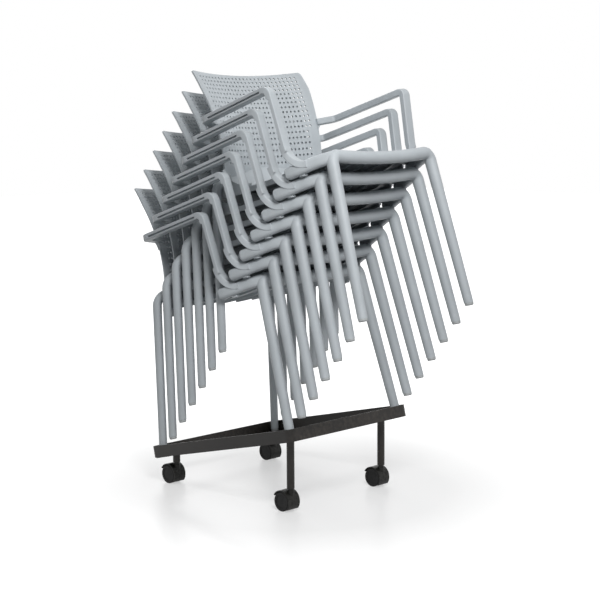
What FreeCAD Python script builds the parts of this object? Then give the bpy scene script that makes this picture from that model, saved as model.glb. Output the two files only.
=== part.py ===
"""A stack of nested armchairs on a wheeled trolley: writes one STEP file for each named piece."""
import math
import os

import FreeCAD
import Part

V = FreeCAD.Vector
AXIS_X = V(1, 0, 0)
AXIS_UP = V(0, 0, 1)
FORWARD = V(0, -1, 0)

# Stack: how many chairs, how each sits on the one below, and how the pile leans back.
CHAIRS = 7
STEP_FWD = 57.8
STEP_UP = 44.06
STACK_TILT = 14.59
STACK_CLEAR = 0.1
STACK_Y = 323.37
STACK_Z = 85.0

# Front frame of the chair: two legs and a sagging front rail.
LEG_X = 220.5
LEG_S = 548.0
LEG_TOP_R = 17.5
LEG_FOOT_R = 13.5
ELBOW_R = 22.0
RAIL_MID_U = 431.5
RAIL_SAG_R = 2300.0

# Side rails, which carry the arm feet.
SIDE_X = 245.0
SIDE_W = 30.0
SIDE_H = 33.0
SIDE_REAR_S = 402.0
SIDE_REAR_U = 424.0
SIDE_SLOPE = 5.5
SIDE_BEND_R = 120.0
SIDE_END_R = 7.0
BOSS_S = 440.0
BOSS_L = 20.0
BOSS_W = 12.0

# Rear legs, raked back, with a rounded shoulder that turns into the seat.
REAR_X = 233.0
REAR_FOOT_S = 2.0
REAR_RAKE = 12.45
REAR_TOP_R = 13.5
REAR_FOOT_R = 12.0
SHOULDER_U = 440.0
SHOULDER_R = 38.0
SHOULDER_RUN = 12.0

# Seat pan: a dished shell that curls up at the rear.
PAN_T = 5.0
PAN_LOW_S = 260.0
PAN_LOW_U = 425.0
PAN_R = 1800.0
PAN_DISH_R = 2600.0
PAN_HALF = 212.0
PAN_WIDE_S = 407.0
PAN_WIDE_INSET = 9.0
CURL_S = 190.0
CURL_R = 110.0
CURL_TURN = 84.0
WEB_T = 12.0
WEB_S = 212.0
WEB_U = 548.0
WEB_R = 105.0
HEEL_S = 113.0
HEEL_L = 20.0
SKIRT_T = 6.0
SKIRT_H = 15.0
SKIRT_REAR_S = 140.0
RIB_T = 3.0
RIB_H = 12.0
RIB_GAP = 66.0
RIB_COUNT = 5
RIB_FRONT_S = 500.0

# Foot glides.
GLIDE_H = 8.0
GLIDE_LIP = 1.0
GLIDE_ROUND = 4.0

# Back: a saddle-shaped shell, concave across and bulging forward in height.
BACK_T = 5.0
BACK_AXIS_S = 780.0
BACK_BULGE_S = 93.0
BACK_BULGE_U = 590.0
BACK_BULGE_R = 479.0
BACK_LOW_U = 440.0
BACK_TOP_U = 806.0
BACK_TOP_DIP = 6.0
BACK_LOW_HALF = 200.0
BACK_MID_HALF = 205.0
BACK_MID_U = 630.0
BACK_TOP_HALF = 218.0
BACK_TOP_BEND_U = 745.0
BACK_CORNER_R = 9.0

# Perforation of the back.
HOLE_R = 2.9
HOLE_COLUMNS = 27
HOLE_PITCH = 1.16
HOLE_TOP_U = 787.0
HOLE_ROWS = 18
HOLE_ROW_GAP = 12.6
HOLE_ROW_GROW = 0.36
HOLE_BORDER = 25.0

# Arms: one swept bar on each side, with a groove, an open upright and a foot.
ARM_W = 26.0
ARM_H = 19.0
ARM_ROUND = 3.0
ARM_ROOT_X = 201.0
ARM_ROOT_S = 119.0
ARM_ROOT_U = 637.0
ARM_REAR_S = 141.0
ARM_REAR_X = 262.0
ARM_REAR_U = 641.0
ARM_REAR_BEND = 22.0
ARM_FRONT_S = 419.0
ARM_FRONT_X = 274.4
ARM_FRONT_U = 653.0
ARM_FRONT_BEND = 15.0
ARM_FOOT_X = 249.0
ARM_FOOT_U = 435.0
ARM_FOOT_END_S = 488.0
ARM_FOOT_BEND = 66.0
ARM_FLANGE = 9.0
ARM_WEB = 8.0
GROOVE_H = 5.5
GROOVE_DEEP = 9.0
GROOVE_DROP = 1.5
GROOVE_END = 26.0
GUSSET_T = 10.0
GUSSET_DROP = 32.0
GUSSET_RUN = 30.0

# Trolley frame of flat bars, with four foot plates and four posts.
FRAME_TILT = 13.3
FRAME_S = 0.0
FRAME_U = 15.5
BAR_H = 35.0
BAR_T = 4.0
FRAME_REAR_S = -30.0
FRAME_FRONT_S = 572.0
FRAME_REAR_HALF = 251.0
FRAME_FRONT_HALF = 245.0
FRAME_CORNER_R = 19.0
PLATE_T = 4.0
PLATE_L = 76.0
PLATE_W = 72.0
POST_R = 11.0
POST_FOOT_Z = 66.0
POST_FRONT_X = 189.0
POST_REAR_X = 203.0
POST_FRONT_RUN = 497.7
POST_REAR_RUN = 26.3

# Twin-wheel casters.
WHEEL_R = 27.5
WHEEL_W = 16.5
WHEEL_EDGE = 3.0
WHEEL_GAP = 0.6
WHEEL_DISH_R = 19.0
WHEEL_DISH_DEEP = 1.2
CASTER_TRAIL = 18.0
CASTER_WEB = 9.0
HOOD_GAP = 1.5
HOOD_T = 3.5
HOOD_FRONT_DEG = -38.0
HOOD_REAR_DEG = 150.0
CASTER_BOSS_R = 10.0
CASTER_BOSS_H = 20.0
STEM_R = 5.5
STEM_GRIP = 16.0
STEM_DEEP = 10.0
STEM_COLLAR_R = 8.0
AXLE_R = 3.0
AXLE_END = 4.0
RUN_CLEAR = 0.05


def pt(x, s, u):
    """A point of the chair: across, forward of the rear feet, above the foot plane."""
    return V(x, -s, u)


def disc(centre, normal, radius):
    return Part.Face(Part.Wire([Part.makeCircle(radius, centre, normal)]))


def cone(start, end, r0, r1):
    line = end - start
    if abs(r0 - r1) < 1e-6:
        return Part.makeCylinder(r0, line.Length, start, line)
    return Part.makeCone(r0, r1, line.Length, start, line)


def polygon(points):
    return Part.Face(Part.makePolygon(list(points) + [points[0]]))


def slab(s0, s1, x0, x1, u0, u1):
    """A block between limits in the chair's axes."""
    return Part.makeBox(x1 - x0, s1 - s0, u1 - u0, pt(x0, s1, u0))


def rounded_section(centre, across, up, width, height, radius):
    """A rounded rectangle as a closed wire."""
    edges = []
    w = width / 2
    h = height / 2
    k = radius * (1 - math.sqrt(0.5))

    def at(a, b):
        return centre + across * a + up * b

    for sa, sb in ((1, 1), (-1, 1), (-1, -1), (1, -1)):
        flip = sa * sb > 0
        a0, b0 = (w, h - radius) if flip else (w - radius, h)
        a1, b1 = (w - radius, h) if flip else (w, h - radius)
        edges.append(Part.Arc(at(sa * a0, sb * b0), at(sa * (w - k), sb * (h - k)), at(sa * a1, sb * b1)).toShape())
    ends = [(e.valueAt(e.FirstParameter), e.valueAt(e.LastParameter)) for e in edges]
    for i in range(4):
        edges.append(Part.makeLine(ends[i][1], ends[(i + 1) % 4][0]))
    return Part.Wire(Part.__sortEdges__(edges))


def bent_path(points, radii):
    """Straight runs joined by tangent arcs."""
    edges = []
    last = points[0]
    for i, radius in enumerate(radii, start=1):
        corner = points[i]
        back = (points[i - 1] - corner).normalize()
        ahead = (points[i + 1] - corner).normalize()
        half = back.getAngle(ahead) / 2
        reach = radius / math.tan(half)
        mid = (back + ahead).normalize()
        start = corner + back * reach
        end = corner + ahead * reach
        top = corner + mid * (radius / math.sin(half) - radius)
        edges.append(Part.makeLine(last, start))
        edges.append(Part.Arc(start, top, end).toShape())
        last = end
    edges.append(Part.makeLine(last, points[-1]))
    return Part.Wire(edges)


def mirrored(shape):
    return shape.mirror(V(0, 0, 0), AXIS_X)


def both_sides(shape):
    return [shape, mirrored(shape)]


def fused(shapes):
    solid = shapes[0].fuse(shapes[1:])
    return solid.removeSplitter()


def front_frame():
    """Front rail, two elbows and two tapered legs."""
    sag = math.asin((LEG_X - ELBOW_R) / (RAIL_SAG_R + ELBOW_R))
    rail_axis = pt(0, LEG_S, RAIL_MID_U + RAIL_SAG_R)
    rail = disc(pt(0, LEG_S, RAIL_MID_U), AXIS_X, LEG_TOP_R)
    rail.rotate(rail_axis, FORWARD, math.degrees(sag))
    rail = rail.revolve(rail_axis, FORWARD, -2 * math.degrees(sag))
    end_u = RAIL_MID_U + RAIL_SAG_R * (1 - math.cos(sag))
    bend_u = end_u - ELBOW_R * math.cos(sag)
    knee = disc(pt(LEG_X, LEG_S, bend_u), AXIS_UP, LEG_TOP_R)
    knee = knee.revolve(pt(LEG_X - ELBOW_R, LEG_S, bend_u), FORWARD, 90 + math.degrees(sag))
    leg = cone(pt(LEG_X, LEG_S, GLIDE_H), pt(LEG_X, LEG_S, bend_u), LEG_FOOT_R, LEG_TOP_R)
    return [rail] + both_sides(knee) + both_sides(leg)


def on_rail_plane(shape):
    """Move a shape built level at the rear end of the side rail onto the rail's slope."""
    shape.rotate(V(0, 0, 0), AXIS_X, -SIDE_SLOPE)
    shape.translate(pt(0, SIDE_REAR_S, SIDE_REAR_U))
    return shape


def side_bend():
    """Where the side rail ends across, the angle it bends through, and its straight run."""
    corner_x = LEG_X - ELBOW_R * (1 - math.sqrt(0.5))
    turn = math.acos(1 - (SIDE_X - corner_x) / SIDE_BEND_R)
    run = LEG_S - SIDE_REAR_S - SIDE_BEND_R * math.sin(turn)
    return corner_x, turn, run


def side_rail():
    """Straight rail with a bend into the front corner, and the boss it stacks on."""
    turn, run = side_bend()[1:]
    section = rounded_section(V(SIDE_X, 0, 0), AXIS_X, AXIS_UP, SIDE_W, SIDE_H, SIDE_W * 0.4)
    straight = Part.Face(section).extrude(FORWARD * run)
    rear_edges = [e for e in straight.Edges if abs(e.BoundBox.YMin) < 1e-6 and abs(e.BoundBox.YMax) < 1e-6]
    straight = straight.makeFillet(SIDE_END_R, rear_edges)
    bend = Part.Face(section)
    bend.translate(FORWARD * run)
    bend = bend.revolve(FORWARD * run + V(SIDE_X - SIDE_BEND_R, 0, 0), AXIS_UP, -math.degrees(turn))
    slope = math.radians(SIDE_SLOPE)
    pitch = STEP_UP * math.cos(slope) - STEP_FWD * math.sin(slope)
    drop = pitch - SIDE_H - STACK_CLEAR
    boss = Part.makeBox(BOSS_W, BOSS_L, drop + SIDE_H / 2)
    boss.translate(V(SIDE_X - BOSS_W, -(BOSS_S - SIDE_REAR_S) - BOSS_L, -SIDE_H / 2 - drop))
    return [on_rail_plane(s) for s in (straight, bend, boss)]


def rear_axis(u):
    """Forward place of the rear leg's axis at a height."""
    return REAR_FOOT_S + u * math.tan(math.radians(REAR_RAKE))


def rear_leg():
    """Raked tapered leg and the shoulder that turns forward and inward."""
    foot = pt(REAR_X, rear_axis(0), 0)
    top = pt(REAR_X, rear_axis(SHOULDER_U), SHOULDER_U)
    leg = cone(foot, top, REAR_FOOT_R, REAR_TOP_R)
    leg = leg.cut(slab(-100, 100, 0, 2 * REAR_X, -50, GLIDE_H))
    along = (top - foot).normalize()
    inward = (pt(-1, 1, 0)).normalize()
    side = along.cross(inward).normalize()
    aim = side.cross(along).normalize()
    turn = math.degrees(along.getAngle(inward))
    bend = disc(top, along, REAR_TOP_R).revolve(top + aim * SHOULDER_R, side, turn)
    centre = top + aim * SHOULDER_R
    spin = FreeCAD.Rotation(side, turn)
    end = centre + spin.multVec(top - centre)
    stub = cone(end, end + inward * SHOULDER_RUN, REAR_TOP_R, REAR_TOP_R)
    return [leg, bend, stub]


def pan_curves():
    """Centre of the long arc, centre of the rear curl, and the angle at which they join."""
    high = pt(0, PAN_LOW_S, PAN_LOW_U + PAN_R)
    join = math.asin((CURL_S - PAN_LOW_S) / PAN_R)
    curl = high + V(0, -math.sin(join), -math.cos(join)) * (PAN_R - CURL_R)
    return high, curl, join


def pan_strip(rear_s, front_s, depth):
    """Side profile of a length of the pan on its long arc, at a thickness."""
    high = pan_curves()[0]

    def at(s, d):
        a = math.asin((s - PAN_LOW_S) / PAN_R)
        return high + V(0, -math.sin(a), -math.cos(a)) * (PAN_R + d)

    mid_s = (rear_s + front_s) / 2
    edges = [Part.Arc(at(rear_s, d), at(mid_s, d), at(front_s, d)).toShape() for d in (0, depth)]
    edges += [Part.makeLine(at(s, 0), at(s, depth)) for s in (rear_s, front_s)]
    return Part.Face(Part.Wire(Part.__sortEdges__(edges)))


def pan_curl(depth):
    """Side profile of the curl at the rear of the pan."""
    curl, join = pan_curves()[1:]
    last = join - math.radians(CURL_TURN)

    def at(a, d):
        return curl + V(0, -math.sin(a), -math.cos(a)) * (CURL_R + d)

    half = (join + last) / 2
    edges = [Part.Arc(at(join, d), at(half, d), at(last, d)).toShape() for d in (0, depth)]
    edges += [Part.makeLine(at(a, 0), at(a, depth)) for a in (join, last)]
    return Part.Face(Part.Wire(Part.__sortEdges__(edges)))


def dished(profile, x0, x1):
    """Sweep a side profile across the seat on the dish radius, between two places across."""
    axis = pt(0, 0, PAN_LOW_U + PAN_DISH_R)
    a0 = math.degrees(math.asin(x0 / PAN_DISH_R))
    a1 = math.degrees(math.asin(x1 / PAN_DISH_R))
    profile.rotate(axis, FORWARD, a0)
    return profile.revolve(axis, FORWARD, a1 - a0)


def front_plan():
    """Plan of the wide front of the pan, bounded by the middle of the rails."""
    turn, run = side_bend()[1:]
    bend_s = SIDE_REAR_S + run
    radius = SIDE_BEND_R - PAN_WIDE_INSET

    def bend(a):
        return SIDE_X - SIDE_BEND_R + radius * math.cos(a), bend_s + radius * math.sin(a)

    (x0, s0), (x1, s1), (x2, s2) = bend(0), bend(turn / 2), bend(turn)
    right = [Part.makeLine(pt(x0, PAN_WIDE_S, 0), pt(x0, s0, 0))]
    right.append(Part.Arc(pt(x0, s0, 0), pt(x1, s1, 0), pt(x2, s2, 0)).toShape())
    right.append(Part.makeLine(pt(x2, s2, 0), pt(x2, LEG_S, 0)))
    left = [mirrored(e) for e in right]
    ends = [Part.makeLine(pt(x, s, 0), pt(-x, s, 0)) for x, s in ((x0, PAN_WIDE_S), (x2, LEG_S))]
    plan = Part.Face(Part.Wire(Part.__sortEdges__(right + left + ends)))
    return plan.extrude(AXIS_UP * 2 * PAN_LOW_U)


def pan():
    """Pan with its wide front, its skirts and its underside ribs."""
    main_part = dished(pan_strip(CURL_S, LEG_S, PAN_T), -PAN_HALF, PAN_HALF)
    curl = dished(pan_curl(PAN_T), -PAN_HALF, PAN_HALF)
    wide = dished(pan_strip(PAN_WIDE_S, LEG_S, PAN_T), -SIDE_X, SIDE_X).common(front_plan())
    pieces = [main_part, curl, wide]
    skirt = dished(pan_strip(SKIRT_REAR_S, PAN_WIDE_S + SKIRT_T, SKIRT_H), PAN_HALF - SKIRT_T, PAN_HALF)
    pieces += both_sides(skirt)
    for i in range(RIB_COUNT):
        x = (i - (RIB_COUNT - 1) / 2) * RIB_GAP
        pieces.append(dished(pan_strip(CURL_S, RIB_FRONT_S, RIB_H), x - RIB_T / 2, x + RIB_T / 2))
    return pieces


def back_side_profile(depth):
    """Upright arc of the back at a depth behind its front face."""
    centre = pt(0, BACK_BULGE_S - BACK_BULGE_R, BACK_BULGE_U)
    low = math.asin((BACK_LOW_U - 20 - BACK_BULGE_U) / BACK_BULGE_R)
    high = math.asin((BACK_TOP_U + 40 - BACK_BULGE_U) / BACK_BULGE_R)

    def at(a):
        return centre + V(0, -math.cos(a), math.sin(a)) * (BACK_BULGE_R - depth)

    return at(low), at((low + high) / 2), at(high)


def back_sheet(depth, spread):
    """Solid between the back's front face and a face at a depth behind it."""
    f0, f1, f2 = back_side_profile(0)
    r0, r1, r2 = back_side_profile(depth)
    edges = [Part.Arc(f0, f1, f2).toShape(), Part.makeLine(f2, r2)]
    edges += [Part.Arc(r2, r1, r0).toShape(), Part.makeLine(r0, f0)]
    face = Part.Face(Part.Wire(edges))
    axis = pt(0, BACK_AXIS_S, 0)
    face.rotate(axis, AXIS_UP, -spread)
    return face.revolve(axis, AXIS_UP, 2 * spread)


def back_outline():
    """Front outline of the back, as a prism that runs from front to rear."""
    low = (BACK_LOW_HALF, BACK_LOW_U)
    bend = (BACK_TOP_HALF, BACK_TOP_BEND_U)
    top = (BACK_TOP_HALF, BACK_TOP_U)

    def at(p, sign=1):
        return pt(sign * p[0], 0, p[1])

    def side(sign):
        curve = Part.Arc(at(low, sign), at((BACK_MID_HALF, BACK_MID_U), sign), at(bend, sign)).toShape()
        return [curve, Part.makeLine(at(bend, sign), at(top, sign))]

    crown = Part.Arc(at(top), pt(0, 0, BACK_TOP_U - BACK_TOP_DIP), at(top, -1)).toShape()
    edges = side(1) + [crown] + side(-1) + [Part.makeLine(at(low, -1), at(low))]
    prism = Part.Face(Part.Wire(Part.__sortEdges__(edges))).extrude(FORWARD * 400)
    prism.translate(FORWARD * -100)
    tops = [e for e in prism.Edges if e.BoundBox.YLength > 300 and e.BoundBox.ZMin > BACK_TOP_U - 1]
    return prism.makeFillet(BACK_CORNER_R, tops)


def back_half_width(u):
    """Half width of the back's outline at a height."""
    if u > BACK_TOP_BEND_U:
        return BACK_TOP_HALF
    a = BACK_MID_U - BACK_LOW_U
    b = BACK_TOP_BEND_U - BACK_LOW_U
    t = u - BACK_LOW_U
    mid = (BACK_MID_HALF - BACK_LOW_HALF) / a
    far = (BACK_TOP_HALF - BACK_LOW_HALF) / b
    bow = (far - mid) / (b - a)
    return BACK_LOW_HALF + t * (mid + bow * (t - a))


def hole_rows():
    u = HOLE_TOP_U
    rows = []
    for i in range(HOLE_ROWS):
        rows.append(u)
        u -= HOLE_ROW_GAP + HOLE_ROW_GROW * i
    return rows


def perforation():
    """Round holes aimed at the back's axis, in rows that open out downwards."""
    axis = pt(0, BACK_AXIS_S, 0)
    holes = []
    middle = (HOLE_COLUMNS - 1) / 2
    for u in hole_rows():
        drop = BACK_BULGE_R - math.sqrt(BACK_BULGE_R ** 2 - (u - BACK_BULGE_U) ** 2)
        reach = BACK_AXIS_S - BACK_BULGE_S + drop
        for column in range(HOLE_COLUMNS):
            angle = (column - middle) * HOLE_PITCH
            x = reach * math.sin(math.radians(angle))
            if abs(x) > back_half_width(u) - HOLE_BORDER:
                continue
            hole = Part.makeCylinder(HOLE_R, 3 * BACK_T, pt(0, BACK_AXIS_S - reach - 2 * BACK_T, u), FORWARD)
            hole.rotate(axis, AXIS_UP, angle)
            holes.append(hole)
    return holes


def back_shell():
    sheet = back_sheet(BACK_T, 22).common(back_outline())
    return sheet.cut(Part.makeCompound(perforation()))


def behind_back():
    """Everything behind the back's front face, which the seat pan stops at."""
    return back_sheet(200, 22)


def side_web():
    """Raised side of the seat between the pan and the back, with the heel it stacks on."""
    x0 = PAN_HALF - WEB_T
    base = slab(60, WEB_S, x0, PAN_HALF, PAN_LOW_U, WEB_U)
    hollow = Part.makeCylinder(WEB_R, 4 * WEB_T, pt(x0 - WEB_T, WEB_S, WEB_U), AXIS_X)
    web = base.cut(hollow)
    below = pt(x0 - WEB_T, WEB_S - STEP_FWD, WEB_U - STEP_UP)
    seat = Part.makeCylinder(WEB_R - STACK_CLEAR, 4 * WEB_T, below, AXIS_X)
    heel = slab(HEEL_S, HEEL_S + HEEL_L, x0, PAN_HALF, WEB_U - WEB_R - STEP_UP, PAN_LOW_U + PAN_T)
    return [web, heel.common(seat)]


def seat():
    """Seat with its legs and rails, cut to the back and to the feet of the arms."""
    shell = fused(pan() + both_sides(side_web()[0])).cut(behind_back())
    pieces = front_frame() + [shell]
    for piece in side_rail() + rear_leg() + side_web()[1:]:
        pieces += both_sides(piece)
    return fused(pieces)


def arm_points():
    """Corners of the arm's middle line: root, rear corner, front corner, foot corner, foot end."""
    root = pt(ARM_ROOT_X, ARM_ROOT_S, ARM_ROOT_U)
    rear = pt(ARM_REAR_X, ARM_REAR_S, ARM_REAR_U)
    front = pt(ARM_FRONT_X, ARM_FRONT_S, ARM_FRONT_U)
    foot = pt(ARM_FOOT_X, ARM_FRONT_S, ARM_FOOT_U)
    end = pt(ARM_FOOT_X, ARM_FOOT_END_S, ARM_FOOT_U)
    return root, rear, front, foot, end


def arm_bar():
    """Root, bar, upright and foot as one sweep."""
    points = arm_points()
    along = (points[1] - points[0]).normalize()
    across = along.cross(AXIS_UP).normalize()
    up = across.cross(along).normalize()
    section = rounded_section(points[0], across, up, ARM_W, ARM_H, ARM_ROUND)
    path = bent_path(points, (ARM_REAR_BEND, ARM_FRONT_BEND, ARM_FOOT_BEND))
    return path.makePipeShell([section], True, False)


def skewed_block(corner, a, b, c):
    """A block from a corner and three edges."""
    return polygon([corner, corner + a, corner + a + b, corner + b]).extrude(c)


def arm_groove():
    """Long groove in the outer side of the bar."""
    rear, front = arm_points()[1:3]
    along = (front - rear).normalize()
    across = AXIS_UP.cross(along).normalize()
    low = AXIS_UP * (-GROOVE_DROP - GROOVE_H / 2)
    start = rear + along * GROOVE_END + across * (ARM_W / 2 - GROOVE_DEEP) + low
    length = (front - rear).Length - GROOVE_END - ARM_FRONT_BEND - ARM_H / 2
    block = skewed_block(start, along * length, AXIS_UP * GROOVE_H, across * (2 * GROOVE_DEEP))
    nose = Part.makeCylinder(GROOVE_H / 2, 3 * GROOVE_DEEP, start + AXIS_UP * (GROOVE_H / 2), across)
    return [block, nose]


def arm_pocket():
    """Open rear of the upright, which leaves a front flange and an inner web."""
    front, foot = arm_points()[2:4]
    down = (foot - front).normalize()
    outward = FORWARD.cross(down).normalize()
    top = front + down * (ARM_FRONT_BEND + ARM_H / 2)
    length = (foot - front).Length - ARM_FRONT_BEND - ARM_H / 2 - ARM_FOOT_BEND
    corner = top + outward * (ARM_WEB - ARM_W / 2) + FORWARD * (-ARM_H)
    depth = ARM_H * 1.5 - ARM_FLANGE
    return skewed_block(corner, down * length, FORWARD * depth, outward * ARM_W)


def arm_gusset():
    """Curved web under the root, which follows the side of the back down."""
    root, rear = arm_points()[:2]
    along = (rear - root).normalize()
    side = along.cross(AXIS_UP).normalize()
    corner = root - side * (GUSSET_T / 2)
    low = corner - AXIS_UP * GUSSET_DROP
    out = corner + along * GUSSET_RUN
    bow = corner + along * (GUSSET_RUN * 0.3) - AXIS_UP * (GUSSET_DROP * 0.42)
    edges = [Part.makeLine(corner, low), Part.Arc(low, bow, out).toShape(), Part.makeLine(out, corner)]
    return Part.Face(Part.Wire(edges)).extrude(side * GUSSET_T)


def arm(back):
    bar = fused([arm_bar(), arm_gusset()])
    return bar.cut(arm_groove() + [arm_pocket(), back])


def glide(x, s, leg_r):
    """Foot cap with a rounded lower edge."""
    radius = leg_r - GLIDE_LIP
    cap = Part.makeCylinder(radius, GLIDE_H, pt(x, s, 0))
    rim = [e for e in cap.Edges if e.BoundBox.ZMax < 1e-6]
    return cap.makeFillet(GLIDE_ROUND, rim)


def glides():
    front = glide(LEG_X, LEG_S, LEG_FOOT_R)
    rear = glide(REAR_X, rear_axis(GLIDE_H), REAR_FOOT_R)
    return both_sides(front) + both_sides(rear)


def on_stack(shape, level=0, tilt=STACK_TILT):
    """Move a shape from the chair's axes to its place in the leaning pile."""
    placed = shape.copy()
    placed.translate(pt(0, level * STEP_FWD, level * STEP_UP))
    placed.rotate(V(0, 0, 0), AXIS_X, -tilt)
    placed.translate(V(0, STACK_Y, STACK_Z))
    return placed


def frame_prism(inset, height):
    """Plan of the trolley frame with rounded corners, a little narrower in front, to a height."""
    front = FRAME_FRONT_S - inset
    rear = FRAME_REAR_S + inset
    wide = FRAME_REAR_HALF - inset
    slim = FRAME_FRONT_HALF - inset
    points = [pt(-wide, rear, -height / 2), pt(wide, rear, -height / 2)]
    points += [pt(slim, front, -height / 2), pt(-slim, front, -height / 2)]
    block = polygon(points).extrude(AXIS_UP * height)
    uprights = [e for e in block.Edges if abs(e.BoundBox.ZLength - height) < 0.01]
    return block.makeFillet(FRAME_CORNER_R - inset, uprights)


def on_frame(shape):
    """Move a level shape onto the slope of the trolley frame."""
    shape.rotate(V(0, 0, 0), AXIS_X, STACK_TILT - FRAME_TILT)
    shape.translate(pt(0, FRAME_S, FRAME_U))
    return on_stack(shape)


def frame_bars():
    """The ring parted beside its corners into four bars, on the slope of the trolley."""
    ring = frame_prism(0, BAR_H).cut(frame_prism(BAR_T, BAR_H))
    inner = FRAME_FRONT_HALF - 2 * FRAME_CORNER_R
    mid_s = (FRAME_REAR_S + FRAME_FRONT_S) / 2
    reach = 2 * FRAME_FRONT_S
    cuts = {
        "trolley_front_bar": slab(mid_s, reach, -inner, inner, -BAR_H, BAR_H),
        "trolley_rear_bar": slab(-reach, mid_s, -inner, inner, -BAR_H, BAR_H),
        "trolley_right_bar": slab(-reach, reach, -reach, -inner, -BAR_H, BAR_H),
        "trolley_left_bar": slab(-reach, reach, inner, reach, -BAR_H, BAR_H),
    }
    bars = {}
    for name, box in cuts.items():
        bars[name] = on_frame(ring.common(box))
    return bars


def foot_plates():
    """Corner plates the lowest feet stand on, cut to the inside of the bars they are welded to."""
    front = slab(FRAME_FRONT_S - PLATE_L, FRAME_FRONT_S, FRAME_REAR_HALF - PLATE_W, FRAME_REAR_HALF, -PLATE_T, 0)
    rear = slab(FRAME_REAR_S, FRAME_REAR_S + PLATE_L, FRAME_REAR_HALF - PLATE_W, FRAME_REAR_HALF, -PLATE_T, 0)
    inside = on_frame(frame_prism(BAR_T, 3 * BAR_H))
    return [on_stack(plate).common(inside) for plate in both_sides(front) + both_sides(rear)]


def post_places():
    """Across and along places of the four posts."""
    front_y = STACK_Y - POST_FRONT_RUN
    rear_y = STACK_Y - POST_REAR_RUN
    return {
        "front_left": (POST_FRONT_X, front_y),
        "front_right": (-POST_FRONT_X, front_y),
        "rear_left": (POST_REAR_X, rear_y),
        "rear_right": (-POST_REAR_X, rear_y),
    }


def post(x, y):
    """Upright post under a foot plate, bored for the caster stem."""
    rod = Part.makeCylinder(POST_R, 2 * PLATE_L + STACK_Z, V(x, y, POST_FOOT_Z))
    above = on_stack(slab(-1000, 1000, -1000, 1000, -PLATE_T, 1000))
    bore = Part.makeCylinder(STEM_R + RUN_CLEAR, STEM_GRIP, V(x, y, POST_FOOT_Z))
    return rod.cut([above, bore])


def hood_top():
    return 2 * WHEEL_R + HOOD_GAP + HOOD_T


def stem(x, y):
    """Caster pin, held in the post, with a collar above the hood."""
    low = hood_top() - STEM_DEEP
    pin = Part.makeCylinder(STEM_R, POST_FOOT_Z + STEM_GRIP - RUN_CLEAR - low, V(x, y, low))
    collar_z = hood_top() + HOOD_T / 2 + 2 * RUN_CLEAR
    collar = Part.makeCylinder(STEM_COLLAR_R, POST_FOOT_Z - collar_z, V(x, y, collar_z))
    return pin.fuse(collar).removeSplitter()


def caster_hood():
    """Curved fender over both wheels."""
    inner = WHEEL_R + HOOD_GAP
    width = CASTER_WEB + 2 * (WHEEL_GAP + WHEEL_W)
    ring = disc(V(-width / 2, 0, 0), AXIS_X, inner + HOOD_T).cut(disc(V(-width / 2, 0, 0), AXIS_X, inner))
    ring = ring.extrude(AXIS_X * width)
    far = 3 * WHEEL_R
    a0 = math.radians(HOOD_FRONT_DEG)
    a1 = math.radians(HOOD_REAR_DEG)
    fan = [V(-width, 0, 0)]
    for i in range(5):
        a = a0 + (a1 - a0) * i / 4
        fan.append(V(-width, -far * math.cos(a), far * math.sin(a)))
    return ring.common(polygon(fan).extrude(AXIS_X * 2 * width))


def caster_housing():
    """Middle web, hood and stem boss, built about the axle with the stem in front of it."""
    web = Part.makeCylinder(WHEEL_R + HOOD_GAP + HOOD_T / 2, CASTER_WEB, V(-CASTER_WEB / 2, 0, 0), AXIS_X)
    web = web.cut(Part.makeBox(4 * WHEEL_R, 4 * WHEEL_R, 2 * WHEEL_R, V(-2 * WHEEL_R, -2 * WHEEL_R, -2.6 * WHEEL_R)))
    top = hood_top() + HOOD_T / 2 - WHEEL_R
    boss = Part.makeCylinder(CASTER_BOSS_R, CASTER_BOSS_H, V(0, -CASTER_TRAIL, top - CASTER_BOSS_H))
    outside = Part.makeCylinder(WHEEL_R + HOOD_GAP, 8 * WHEEL_W, V(-4 * WHEEL_W, 0, 0), AXIS_X)
    keep = Part.makeBox(CASTER_WEB, 4 * WHEEL_R, 2 * WHEEL_R, V(-CASTER_WEB / 2, -2 * WHEEL_R, -WHEEL_R))
    boss = boss.cut(outside.cut(keep))
    body = fused([web, caster_hood(), boss])
    bore = Part.makeCylinder(STEM_R + RUN_CLEAR, 2 * STEM_DEEP, V(0, -CASTER_TRAIL, hood_top() - WHEEL_R - STEM_DEEP - 1))
    pin = Part.makeCylinder(AXLE_R + RUN_CLEAR / 2, 2 * CASTER_WEB, V(-CASTER_WEB, 0, 0), AXIS_X)
    solid = body.cut([bore, pin])
    return max(solid.Solids, key=lambda s: s.Volume)


def caster_axle():
    half = CASTER_WEB / 2 + WHEEL_GAP + WHEEL_W - AXLE_END
    return Part.makeCylinder(AXLE_R, 2 * half, V(-half, 0, 0), AXIS_X)


def caster_wheel():
    """Wheel on the left of the web, with rounded rims, a dished cap and a blind bore."""
    x0 = CASTER_WEB / 2 + WHEEL_GAP
    wheel = Part.makeCylinder(WHEEL_R, WHEEL_W, V(x0, 0, 0), AXIS_X)
    rims = [e for e in wheel.Edges if abs(e.BoundBox.XLength) < 1e-3]
    wheel = wheel.makeFillet(WHEEL_EDGE, rims)
    dish = Part.makeCylinder(WHEEL_DISH_R, WHEEL_DISH_DEEP, V(x0 + WHEEL_W - WHEEL_DISH_DEEP, 0, 0), AXIS_X)
    bore = Part.makeCylinder(AXLE_R + RUN_CLEAR, WHEEL_W - AXLE_END + 0.5, V(x0, 0, 0), AXIS_X)
    return wheel.cut([dish, bore])


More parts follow.
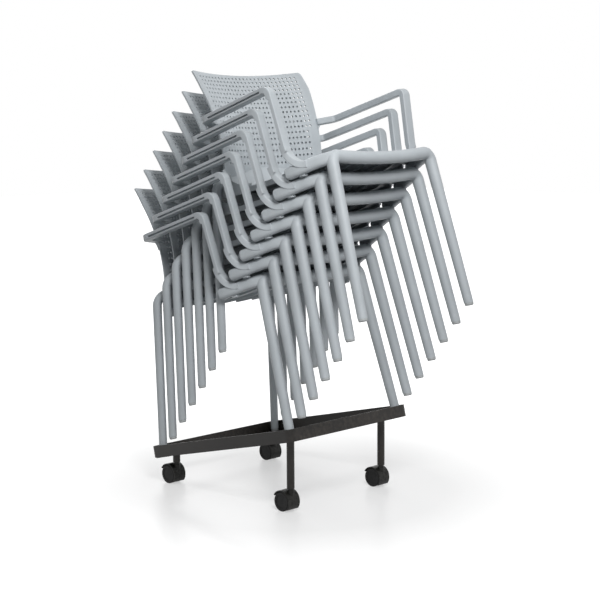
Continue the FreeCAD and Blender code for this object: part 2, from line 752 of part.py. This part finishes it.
def caster_nodes():
    """The pieces of each caster at its post, trailing to the rear."""
    housing = caster_housing()
    axle = caster_axle()
    wheel = caster_wheel()
    nodes = {}
    for place, (x, y) in post_places().items():
        shift = V(x, y + CASTER_TRAIL, WHEEL_R)
        parts = {"housing": housing, "axle": axle, "wheel_left": wheel, "wheel_right": mirrored(wheel)}
        for name, shape in parts.items():
            copy = shape.copy()
            copy.translate(shift)
            nodes["caster_" + place + "_" + name] = [copy]
    return nodes


def chair_nodes():
    """The four pieces of one chair, once for each level of the pile."""
    back = back_shell()
    arms = both_sides(arm(back_sheet(BACK_T, 22).common(back_outline())))
    base = seat().cut(arms + [back_sheet(BACK_T, 22).common(back_outline())])
    base = max(base.Solids, key=lambda s: s.Volume)
    pieces = {"seat": [base], "back": [back], "arms": arms, "glides": glides()}
    nodes = {}
    for level in range(CHAIRS):
        for name, shapes in pieces.items():
            nodes["chair%d_%s" % (level + 1, name)] = [on_stack(s, level) for s in shapes]
    return nodes


def trolley_nodes():
    bars = frame_bars()
    nodes = {name: [bar] for name, bar in bars.items()}
    nodes["trolley_foot_plates"] = foot_plates()
    places = post_places()
    nodes["trolley_front_posts"] = [post(*places[n]) for n in places if n.startswith("front")]
    nodes["trolley_rear_posts"] = [post(*places[n]) for n in places if n.startswith("rear")]
    nodes["caster_stems"] = [stem(*p) for p in places.values()]
    return nodes


def write(name, shapes):
    solids = [s for shape in shapes for s in shape.Solids]
    whole = solids[0] if len(solids) == 1 else Part.makeCompound(solids)
    whole.exportStep(os.path.join("parts", name + ".step"))


def main():
    os.makedirs("parts", exist_ok=True)
    nodes = {}
    nodes.update(trolley_nodes())
    nodes.update(caster_nodes())
    nodes.update(chair_nodes())
    for name, shapes in nodes.items():
        write(name, shapes)


main()
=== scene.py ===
"""Looks, light and camera for a stack of seven nested armchairs on a wheeled trolley."""
import math

import bmesh
import bpy
import numpy as np
from mathutils import Matrix, Quaternion, Vector


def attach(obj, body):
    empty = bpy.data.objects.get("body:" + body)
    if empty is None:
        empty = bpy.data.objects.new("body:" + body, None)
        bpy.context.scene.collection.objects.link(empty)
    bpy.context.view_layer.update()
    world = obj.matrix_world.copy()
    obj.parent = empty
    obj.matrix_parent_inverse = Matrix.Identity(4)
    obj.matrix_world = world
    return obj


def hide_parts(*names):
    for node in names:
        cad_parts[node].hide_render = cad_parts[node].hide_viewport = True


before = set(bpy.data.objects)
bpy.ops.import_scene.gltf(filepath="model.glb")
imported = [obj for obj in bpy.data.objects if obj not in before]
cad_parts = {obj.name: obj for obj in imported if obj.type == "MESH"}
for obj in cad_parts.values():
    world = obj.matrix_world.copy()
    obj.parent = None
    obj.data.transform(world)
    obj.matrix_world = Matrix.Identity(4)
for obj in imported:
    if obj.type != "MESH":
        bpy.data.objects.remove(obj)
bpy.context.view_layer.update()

# The photograph's camera, in metres and degrees.
CAMERA_PLACE = (-2.9647, -2.9686, 1.0954)
CAMERA_YAW = 45.23
CAMERA_PITCH = -7.25
CAMERA_ROLL = 0.34
FOCAL_PIXELS = 1449.3
FRAME_PIXELS = 600.0
SENSOR_WIDTH = 36.0
VIEW_REACH = 100.0

# Lamps: name, place, point aimed at, width and power.
LAMPS = (
    ("key", (-1.2, -1.8, 2.3), (0.0, -0.2, 0.9), 0.9, 50.0),
    ("top", (0.0, -0.5, 2.9), (0.0, -0.1, 0.8), 1.2, 8.0),
    ("rear", (1.9, 3.0, 2.3), (0.0, 0.2, 0.7), 1.6, 42.0),
)
WHITE = (1.0, 1.0, 1.0, 1.0)
FILL_COLOUR = (0.97, 0.985, 1.0, 1.0)
FILL_LIGHT = 0.25

# Floor: half its width, its two tints, and a glow that grows from near the object to far from it.
FLOOR_HALF = 14.0
FLOOR_DARK = (0.39, 0.39, 0.39)
FLOOR_PALE = (0.41, 0.41, 0.41)
FLOOR_ROUGH = 0.3
FLOOR_SHINE = 0.06
FLOOR_GLOW = 0.5
FLOOR_NEAR = 0.45
FLOOR_FAR = 1.25

# Colours, with the paler ones that wear and a dusty coat bring out; the paint's brownish film is
# also a painted sheen.
PLASTIC = (0.440, 0.474, 0.498)
PLASTIC_RUBBED = (0.495, 0.53, 0.555)
# The arms' plastic is drawn 2% darker than the seat's: painted shade.
ARM_PAINTED_SHADE = 0.98
GLIDE = (0.42, 0.44, 0.445)
GLIDE_RUBBED = (0.50, 0.52, 0.525)
PAINT = (0.007, 0.0066, 0.0062)
# Brownish tint of the paint's film: partly a dusty coat, partly a painted sheen.
PAINT_DUST_AND_SHEEN = (0.030, 0.025, 0.021)
HOOD = (0.007, 0.007, 0.006)
HOOD_RUBBED = (0.03, 0.029, 0.027)
WHEEL = (0.010, 0.010, 0.010)
WHEEL_RUBBED = (0.04, 0.04, 0.04)
STEEL_DARK = (0.42, 0.42, 0.43)
STEEL_PALE = (0.60, 0.60, 0.61)

# The stack: how many chairs, how it leans, and the step from each chair to the next.
CHAIRS = 7
LEAN = math.radians(14.59)
STACK_Y = 0.32337
STACK_Z = 0.085
STEP_FORWARD = 0.0578
STEP_UP = 0.04406

# Front corners: where the pull on them starts and ends, forward and up in a chair's own axes.
LEG_HALF = 0.2205
CORNER_UP = 0.445
CORNER_DRAW = 0.0225
CORNER_LIFT = 0.003
DRAW_FROM = 0.405
DRAW_TO = 0.510
ARM_CLEAR = 0.480
BOSS_REAR = 0.420
BOSS_FRONT = 0.460
BOSS_TOP = 0.4075

# Holes of the back: how little a hole's wall faces forward, and how far it moves.
WALL_FACING = 0.6
HOLE_GROW = 0.0006

SMOOTH_ANGLE = math.radians(32)
WELD = 1e-5


class Shader:
    """A node material, with short calls to add and link nodes."""

    def __init__(self, name):
        self.material = bpy.data.materials.new(name)
        self.material.use_nodes = True
        self.nodes = self.material.node_tree.nodes
        self.links = self.material.node_tree.links
        self.surface = self.nodes["Principled BSDF"]
        self.place = self.nodes.new("ShaderNodeTexCoord").outputs["Object"]

    def link(self, source, target):
        self.links.new(source, target)

    def noise(self, scale, detail=4.0, rough=0.55, stretch=None):
        """Noise in the object's own metres, drawn out along an axis if asked."""
        node = self.nodes.new("ShaderNodeTexNoise")
        node.inputs["Scale"].default_value = scale
        node.inputs["Detail"].default_value = detail
        node.inputs["Roughness"].default_value = rough
        source = self.place
        if stretch:
            mapping = self.nodes.new("ShaderNodeMapping")
            mapping.inputs["Scale"].default_value = stretch
            self.link(self.place, mapping.inputs["Vector"])
            source = mapping.outputs["Vector"]
        self.link(source, node.inputs["Vector"])
        return node.outputs["Fac"]

    def spots(self, scale):
        """Distance to scattered points, for pits and specks."""
        node = self.nodes.new("ShaderNodeTexVoronoi")
        node.inputs["Scale"].default_value = scale
        self.link(self.place, node.inputs["Vector"])
        return node.outputs["Distance"]

    def edges(self, low, high):
        """One on sharp outer edges and nought elsewhere, broken up by noise."""
        shape = self.nodes.new("ShaderNodeNewGeometry").outputs["Pointiness"]
        edge = self.ramp(shape, low, high)
        patch = self.ramp(self.noise(90, 5.0), 0.40, 0.66)
        return self.maths("MULTIPLY", edge, patch)

    def ramp(self, source, low, high, start=0.0, end=1.0):
        """Map a range of a value to another range, held at its ends."""
        node = self.nodes.new("ShaderNodeMapRange")
        limits = {"From Min": low, "From Max": high, "To Min": start, "To Max": end}
        for name, value in limits.items():
            node.inputs[name].default_value = value
        self.link(source, node.inputs["Value"])
        return node.outputs["Result"]

    def maths(self, kind, a, b):
        node = self.nodes.new("ShaderNodeMath")
        node.operation = kind
        self.link(a, node.inputs[0])
        if isinstance(b, float):
            node.inputs[1].default_value = b
        else:
            self.link(b, node.inputs[1])
        return node.outputs[0]

    def mix(self, factor, a, b):
        """Blend of two colours, each a tuple or another node's output."""
        node = self.nodes.new("ShaderNodeMix")
        node.data_type = "RGBA"
        self.link(factor, node.inputs["Factor"])
        for socket, value in ((node.inputs[6], a), (node.inputs[7], b)):
            if isinstance(value, tuple):
                socket.default_value = (*value, 1.0)
            else:
                self.link(value, socket)
        return node.outputs[2]

    def bump(self, height, strength, distance, under=None):
        node = self.nodes.new("ShaderNodeBump")
        node.inputs["Strength"].default_value = strength
        node.inputs["Distance"].default_value = distance
        self.link(height, node.inputs["Height"])
        if under:
            self.link(under, node.inputs["Normal"])
        return node.outputs["Normal"]

    def finish(self, colour, rough, normal):
        self.link(colour, self.surface.inputs["Base Color"])
        self.link(rough, self.surface.inputs["Roughness"])
        self.link(normal, self.surface.inputs["Normal"])
        return self.material


def moulded_plastic(name, colour, rubbed, gloss):
    """Fine-grained moulded polypropylene, with faint flow marks, scuffs and paler rubbed edges."""
    shader = Shader(name)
    dark = tuple(c * 0.93 for c in colour)
    pale = tuple(min(1.0, c * 1.05) for c in colour)
    flow = shader.ramp(shader.noise(7, 3.0), 0.35, 0.65)
    body = shader.mix(flow, dark, pale)
    speck = shader.ramp(shader.noise(420, 2.0), 0.62, 0.74, 0.0, 0.35)
    body = shader.mix(speck, body, tuple(c * 0.86 for c in colour))
    body = shader.mix(shader.edges(0.53, 0.60), body, rubbed)
    scuff = shader.ramp(shader.noise(60, 6.0, 0.6, (1.0, 0.25, 1.0)), 0.55, 0.75, 0.0, 0.10)
    smear = shader.ramp(shader.noise(11, 4.0), 0.3, 0.7, gloss - 0.05, gloss + 0.06)
    rough = shader.maths("ADD", smear, scuff)
    wave = shader.bump(shader.noise(22, 2.0), 0.10, 0.0006)
    grain = shader.bump(shader.noise(1400, 3.0), 0.16, 0.00012, wave)
    shader.surface.inputs["Specular IOR Level"].default_value = 0.42
    return shader.finish(body, rough, grain)


def painted_steel(name, colour, dust_and_sheen_colour):
    """Satin paint with orange peel, a brownish film that is partly a dusty coat and partly a
    painted sheen, and paler rubbed edges.
    """
    shader = Shader(name)
    # Brownish film over the paint: partly a dusty coat, partly a painted sheen.
    dust_and_sheen_mask = shader.ramp(shader.noise(5, 3.0), 0.35, 0.75, 0.15, 0.6)
    body = shader.mix(dust_and_sheen_mask, colour, dust_and_sheen_colour)
    body = shader.mix(shader.edges(0.62, 0.78), body, tuple(c * 2.0 for c in dust_and_sheen_colour))
    rough = shader.ramp(shader.noise(14, 4.0), 0.3, 0.7, 0.30, 0.42)
    peel = shader.bump(shader.noise(520, 2.0), 0.22, 0.0002)
    pits = shader.bump(shader.spots(900), 0.06, 0.0001, peel)
    shader.surface.inputs["Specular IOR Level"].default_value = 0.3
    return shader.finish(body, rough, pits)


def black_nylon(name, colour, rubbed, gloss):
    """Dull moulded nylon with a fine spark-eroded grain and grey rubbed edges."""
    shader = Shader(name)
    cloud = shader.ramp(shader.noise(45, 5.0), 0.35, 0.7)
    body = shader.mix(cloud, colour, tuple(c * 1.7 + 0.003 for c in colour))
    body = shader.mix(shader.edges(0.53, 0.62), body, rubbed)
    rough = shader.ramp(shader.noise(80, 4.0), 0.3, 0.7, gloss - 0.06, gloss + 0.08)
    grain = shader.bump(shader.spots(1600), 0.18, 0.00012)
    shader.surface.inputs["Specular IOR Level"].default_value = 0.2
    return shader.finish(body, rough, grain)


def turned_steel(name):
    """Bare steel pin with fine turning lines round it."""
    shader = Shader(name)
    lines = shader.noise(900, 2.0, 0.5, (8.0, 0.2, 0.2))
    body = shader.mix(shader.ramp(lines, 0.3, 0.7), STEEL_DARK, STEEL_PALE)
    rough = shader.ramp(shader.noise(70, 4.0), 0.3, 0.7, 0.22, 0.38)
    shader.surface.inputs["Metallic"].default_value = 1.0
    return shader.finish(body, rough, shader.bump(lines, 0.12, 0.0001))


def node_materials():
    """The material of each CAD node, by the ending of its name."""
    # A darker copy of the chair plastic for the arms, as painted shade.
    arm_painted_shade_colour = tuple(c * ARM_PAINTED_SHADE for c in PLASTIC)
    chair = moulded_plastic("chair_plastic", PLASTIC, PLASTIC_RUBBED, 0.46)
    arm = moulded_plastic("arm_plastic", arm_painted_shade_colour, PLASTIC_RUBBED, 0.42)
    foot = moulded_plastic("glide_plastic", GLIDE, GLIDE_RUBBED, 0.55)
    paint = painted_steel("black_paint", PAINT, PAINT_DUST_AND_SHEEN)
    hood = black_nylon("hood_plastic", HOOD, HOOD_RUBBED, 0.30)
    wheel = black_nylon("wheel_plastic", WHEEL, WHEEL_RUBBED, 0.50)
    steel = turned_steel("axle_steel")
    return {
        "_seat": chair, "_back": chair, "_arms": arm, "_glides": foot,
        "_bar": paint, "_plates": paint, "_posts": paint, "_stems": paint,
        "_housing": hood, "_axle": steel, "_wheel_left": wheel, "_wheel_right": wheel,
    }


def eased(values, low, high):
    """Nought below a range, one above it, and a smooth rise between."""
    part = np.clip((values - low) / (high - low), 0.0, 1.0)
    return part * part * (3.0 - 2.0 * part)


def draw_corners(mesh):
    """Draw the lowest chair's front corners in and back, so that the legs spread to their feet."""
    points = np.empty(len(mesh.vertices) * 3)
    mesh.vertices.foreach_get("co", points)
    points = points.reshape(-1, 3)
    behind = STACK_Y - points[:, 1]
    rise = points[:, 2] - STACK_Z
    forward = behind * math.cos(LEAN) + rise * math.sin(LEAN)
    up = rise * math.cos(LEAN) - behind * math.sin(LEAN)
    boss = (forward > BOSS_REAR) & (forward < BOSS_FRONT) & (up < BOSS_TOP)
    near = eased(forward + STEP_FORWARD * boss, DRAW_FROM, DRAW_TO)
    high = np.clip(up / CORNER_UP, 0.0, 1.0) * (up < ARM_CLEAR)
    pull = CORNER_DRAW * near * high
    lift = CORNER_LIFT * near * high
    points[:, 0] *= 1.0 - pull / LEG_HALF
    points[:, 1] += pull * math.cos(LEAN) + lift * math.sin(LEAN)
    points[:, 2] += lift * math.cos(LEAN) - pull * math.sin(LEAN)
    mesh.vertices.foreach_set("co", points.ravel())
    mesh.update()


def widen_holes(mesh):
    """Push the walls of the back's holes outwards, to the width that the photograph shows."""
    form = bmesh.new()
    form.from_mesh(mesh)
    bmesh.ops.remove_doubles(form, verts=form.verts, dist=WELD)
    ahead = Vector((0.0, -math.cos(LEAN), math.sin(LEAN)))
    moves = []
    for vertex in form.verts:
        normals = [face.normal for face in vertex.link_faces]
        walls = [normal for normal in normals if abs(normal.dot(ahead)) < WALL_FACING]
        if walls:
            moves.append((vertex, sum(walls, Vector()).normalized()))
    for vertex, inward in moves:
        vertex.co -= inward * HOLE_GROW
    form.to_mesh(mesh)
    form.free()


def shade_smooth(piece):
    """Smooth shading between sharp edges."""
    for face in piece.data.polygons:
        face.use_smooth = True
    piece.modifiers.new("weld", "WELD").merge_threshold = WELD
    piece.modifiers.new("split", "EDGE_SPLIT").split_angle = SMOOTH_ANGLE


def fit_chairs():
    """Stand a fitted piece in for each chair's seat, arms and back, all from the lowest chair's."""
    step_y = STEP_UP * math.sin(LEAN) - STEP_FORWARD * math.cos(LEAN)
    step_z = STEP_UP * math.cos(LEAN) + STEP_FORWARD * math.sin(LEAN)
    for part, fit in (("seat", draw_corners), ("arms", draw_corners), ("back", widen_holes)):
        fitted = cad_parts[f"chair1_{part}"].data.copy()
        fit(fitted)
        for level in range(CHAIRS):
            body = f"chair{level + 1}"
            mesh = fitted.copy()
            mesh.transform(Matrix.Translation((0.0, step_y * level, step_z * level)))
            piece = bpy.data.objects.new(f"{body}_{part}_fitted", mesh)
            bpy.context.scene.collection.objects.link(piece)
            shade_smooth(piece)
            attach(piece, body)
            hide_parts(f"{body}_{part}")


def dress_nodes():
    """Give every CAD node its material, and smooth shading between its sharp edges."""
    finishes = node_materials()
    for name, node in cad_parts.items():
        material = next(m for end, m in finishes.items() if name.endswith(end))
        node.data.materials.clear()
        node.data.materials.append(material)
        shade_smooth(node)


def camera():
    """The photograph's camera, worked out for a square frame."""
    yaw = math.radians(CAMERA_YAW)
    pitch = math.radians(CAMERA_PITCH)
    flat = math.cos(pitch)
    ahead = Vector((math.sin(yaw) * flat, math.cos(yaw) * flat, math.sin(pitch)))
    data = bpy.data.cameras.new("camera")
    data.sensor_width = SENSOR_WIDTH
    data.lens = data.sensor_width * FOCAL_PIXELS / FRAME_PIXELS
    data.clip_end = VIEW_REACH
    eye = bpy.data.objects.new("camera", data)
    bpy.context.scene.collection.objects.link(eye)
    eye.location = CAMERA_PLACE
    eye.rotation_mode = "QUATERNION"
    roll = Quaternion(ahead, math.radians(CAMERA_ROLL))
    eye.rotation_quaternion = roll @ ahead.to_track_quat("-Z", "Y")
    bpy.context.scene.camera = eye


def area_light(name, place, aim, size, power):
    """A round lamp that points at a place."""
    data = bpy.data.lights.new(name, "AREA")
    data.shape = "DISK"
    data.size = size
    data.energy = power
    lamp = bpy.data.objects.new(name, data)
    bpy.context.scene.collection.objects.link(lamp)
    lamp.location = place
    lamp.rotation_mode = "QUATERNION"
    lamp.rotation_quaternion = (Vector(aim) - Vector(place)).to_track_quat("-Z", "Y")


def seen_rays(nodes, links):
    """One for rays from the camera and for those that reflect or pass through, else nought."""
    path = nodes.new("ShaderNodeLightPath")
    total = path.outputs["Is Camera Ray"]
    for kind in ("Is Glossy Ray", "Is Transmission Ray"):
        node = nodes.new("ShaderNodeMath")
        node.operation = "MAXIMUM"
        links.new(total, node.inputs[0])
        links.new(path.outputs[kind], node.inputs[1])
        total = node.outputs[0]
    return total


def studio():
    """A near key light, so that each chair shades those below, in a white surround."""
    for lamp in LAMPS:
        area_light(*lamp)
    world = bpy.data.worlds.new("surround")
    bpy.context.scene.world = world
    world.use_nodes = True
    nodes = world.node_tree.nodes
    links = world.node_tree.links
    seen = nodes["Background"]
    seen.inputs["Color"].default_value = WHITE
    seen.inputs["Strength"].default_value = 1.0
    fill = nodes.new("ShaderNodeBackground")
    fill.inputs["Color"].default_value = FILL_COLOUR
    fill.inputs["Strength"].default_value = FILL_LIGHT
    pick = nodes.new("ShaderNodeMixShader")
    links.new(seen_rays(nodes, links), pick.inputs["Fac"])
    links.new(fill.outputs[0], pick.inputs[1])
    links.new(seen.outputs[0], pick.inputs[2])
    links.new(pick.outputs[0], nodes["World Output"].inputs["Surface"])


def floor():
    """A pale floor that is white to the camera and keeps the object's shadow."""
    mesh = bpy.data.meshes.new("floor")
    signs = ((-1, -1), (1, -1), (1, 1), (-1, 1))
    corners = [(FLOOR_HALF * x, FLOOR_HALF * y, 0.0) for x, y in signs]
    mesh.from_pydata(corners, [], [(0, 1, 2, 3)])
    plane = bpy.data.objects.new("floor", mesh)
    bpy.context.scene.collection.objects.link(plane)
    shader = Shader("floor_paint")
    tint = shader.mix(shader.noise(3.0), FLOOR_DARK, FLOOR_PALE)
    shader.link(tint, shader.surface.inputs["Base Color"])
    shader.surface.inputs["Roughness"].default_value = FLOOR_ROUGH
    shader.surface.inputs["Specular IOR Level"].default_value = FLOOR_SHINE
    shader.surface.inputs["Emission Color"].default_value = WHITE
    away = shader.nodes.new("ShaderNodeVectorMath")
    away.operation = "LENGTH"
    shader.link(shader.place, away.inputs[0])
    glow = shader.ramp(away.outputs["Value"], FLOOR_NEAR, FLOOR_FAR, FLOOR_GLOW, 1.0)
    glow = shader.maths("MULTIPLY", glow, seen_rays(shader.nodes, shader.links))
    shader.link(glow, shader.surface.inputs["Emission Strength"])
    mesh.materials.append(shader.material)


dress_nodes()
fit_chairs()
studio()
floor()
camera()
bpy.context.scene.view_settings.view_transform = "Standard"
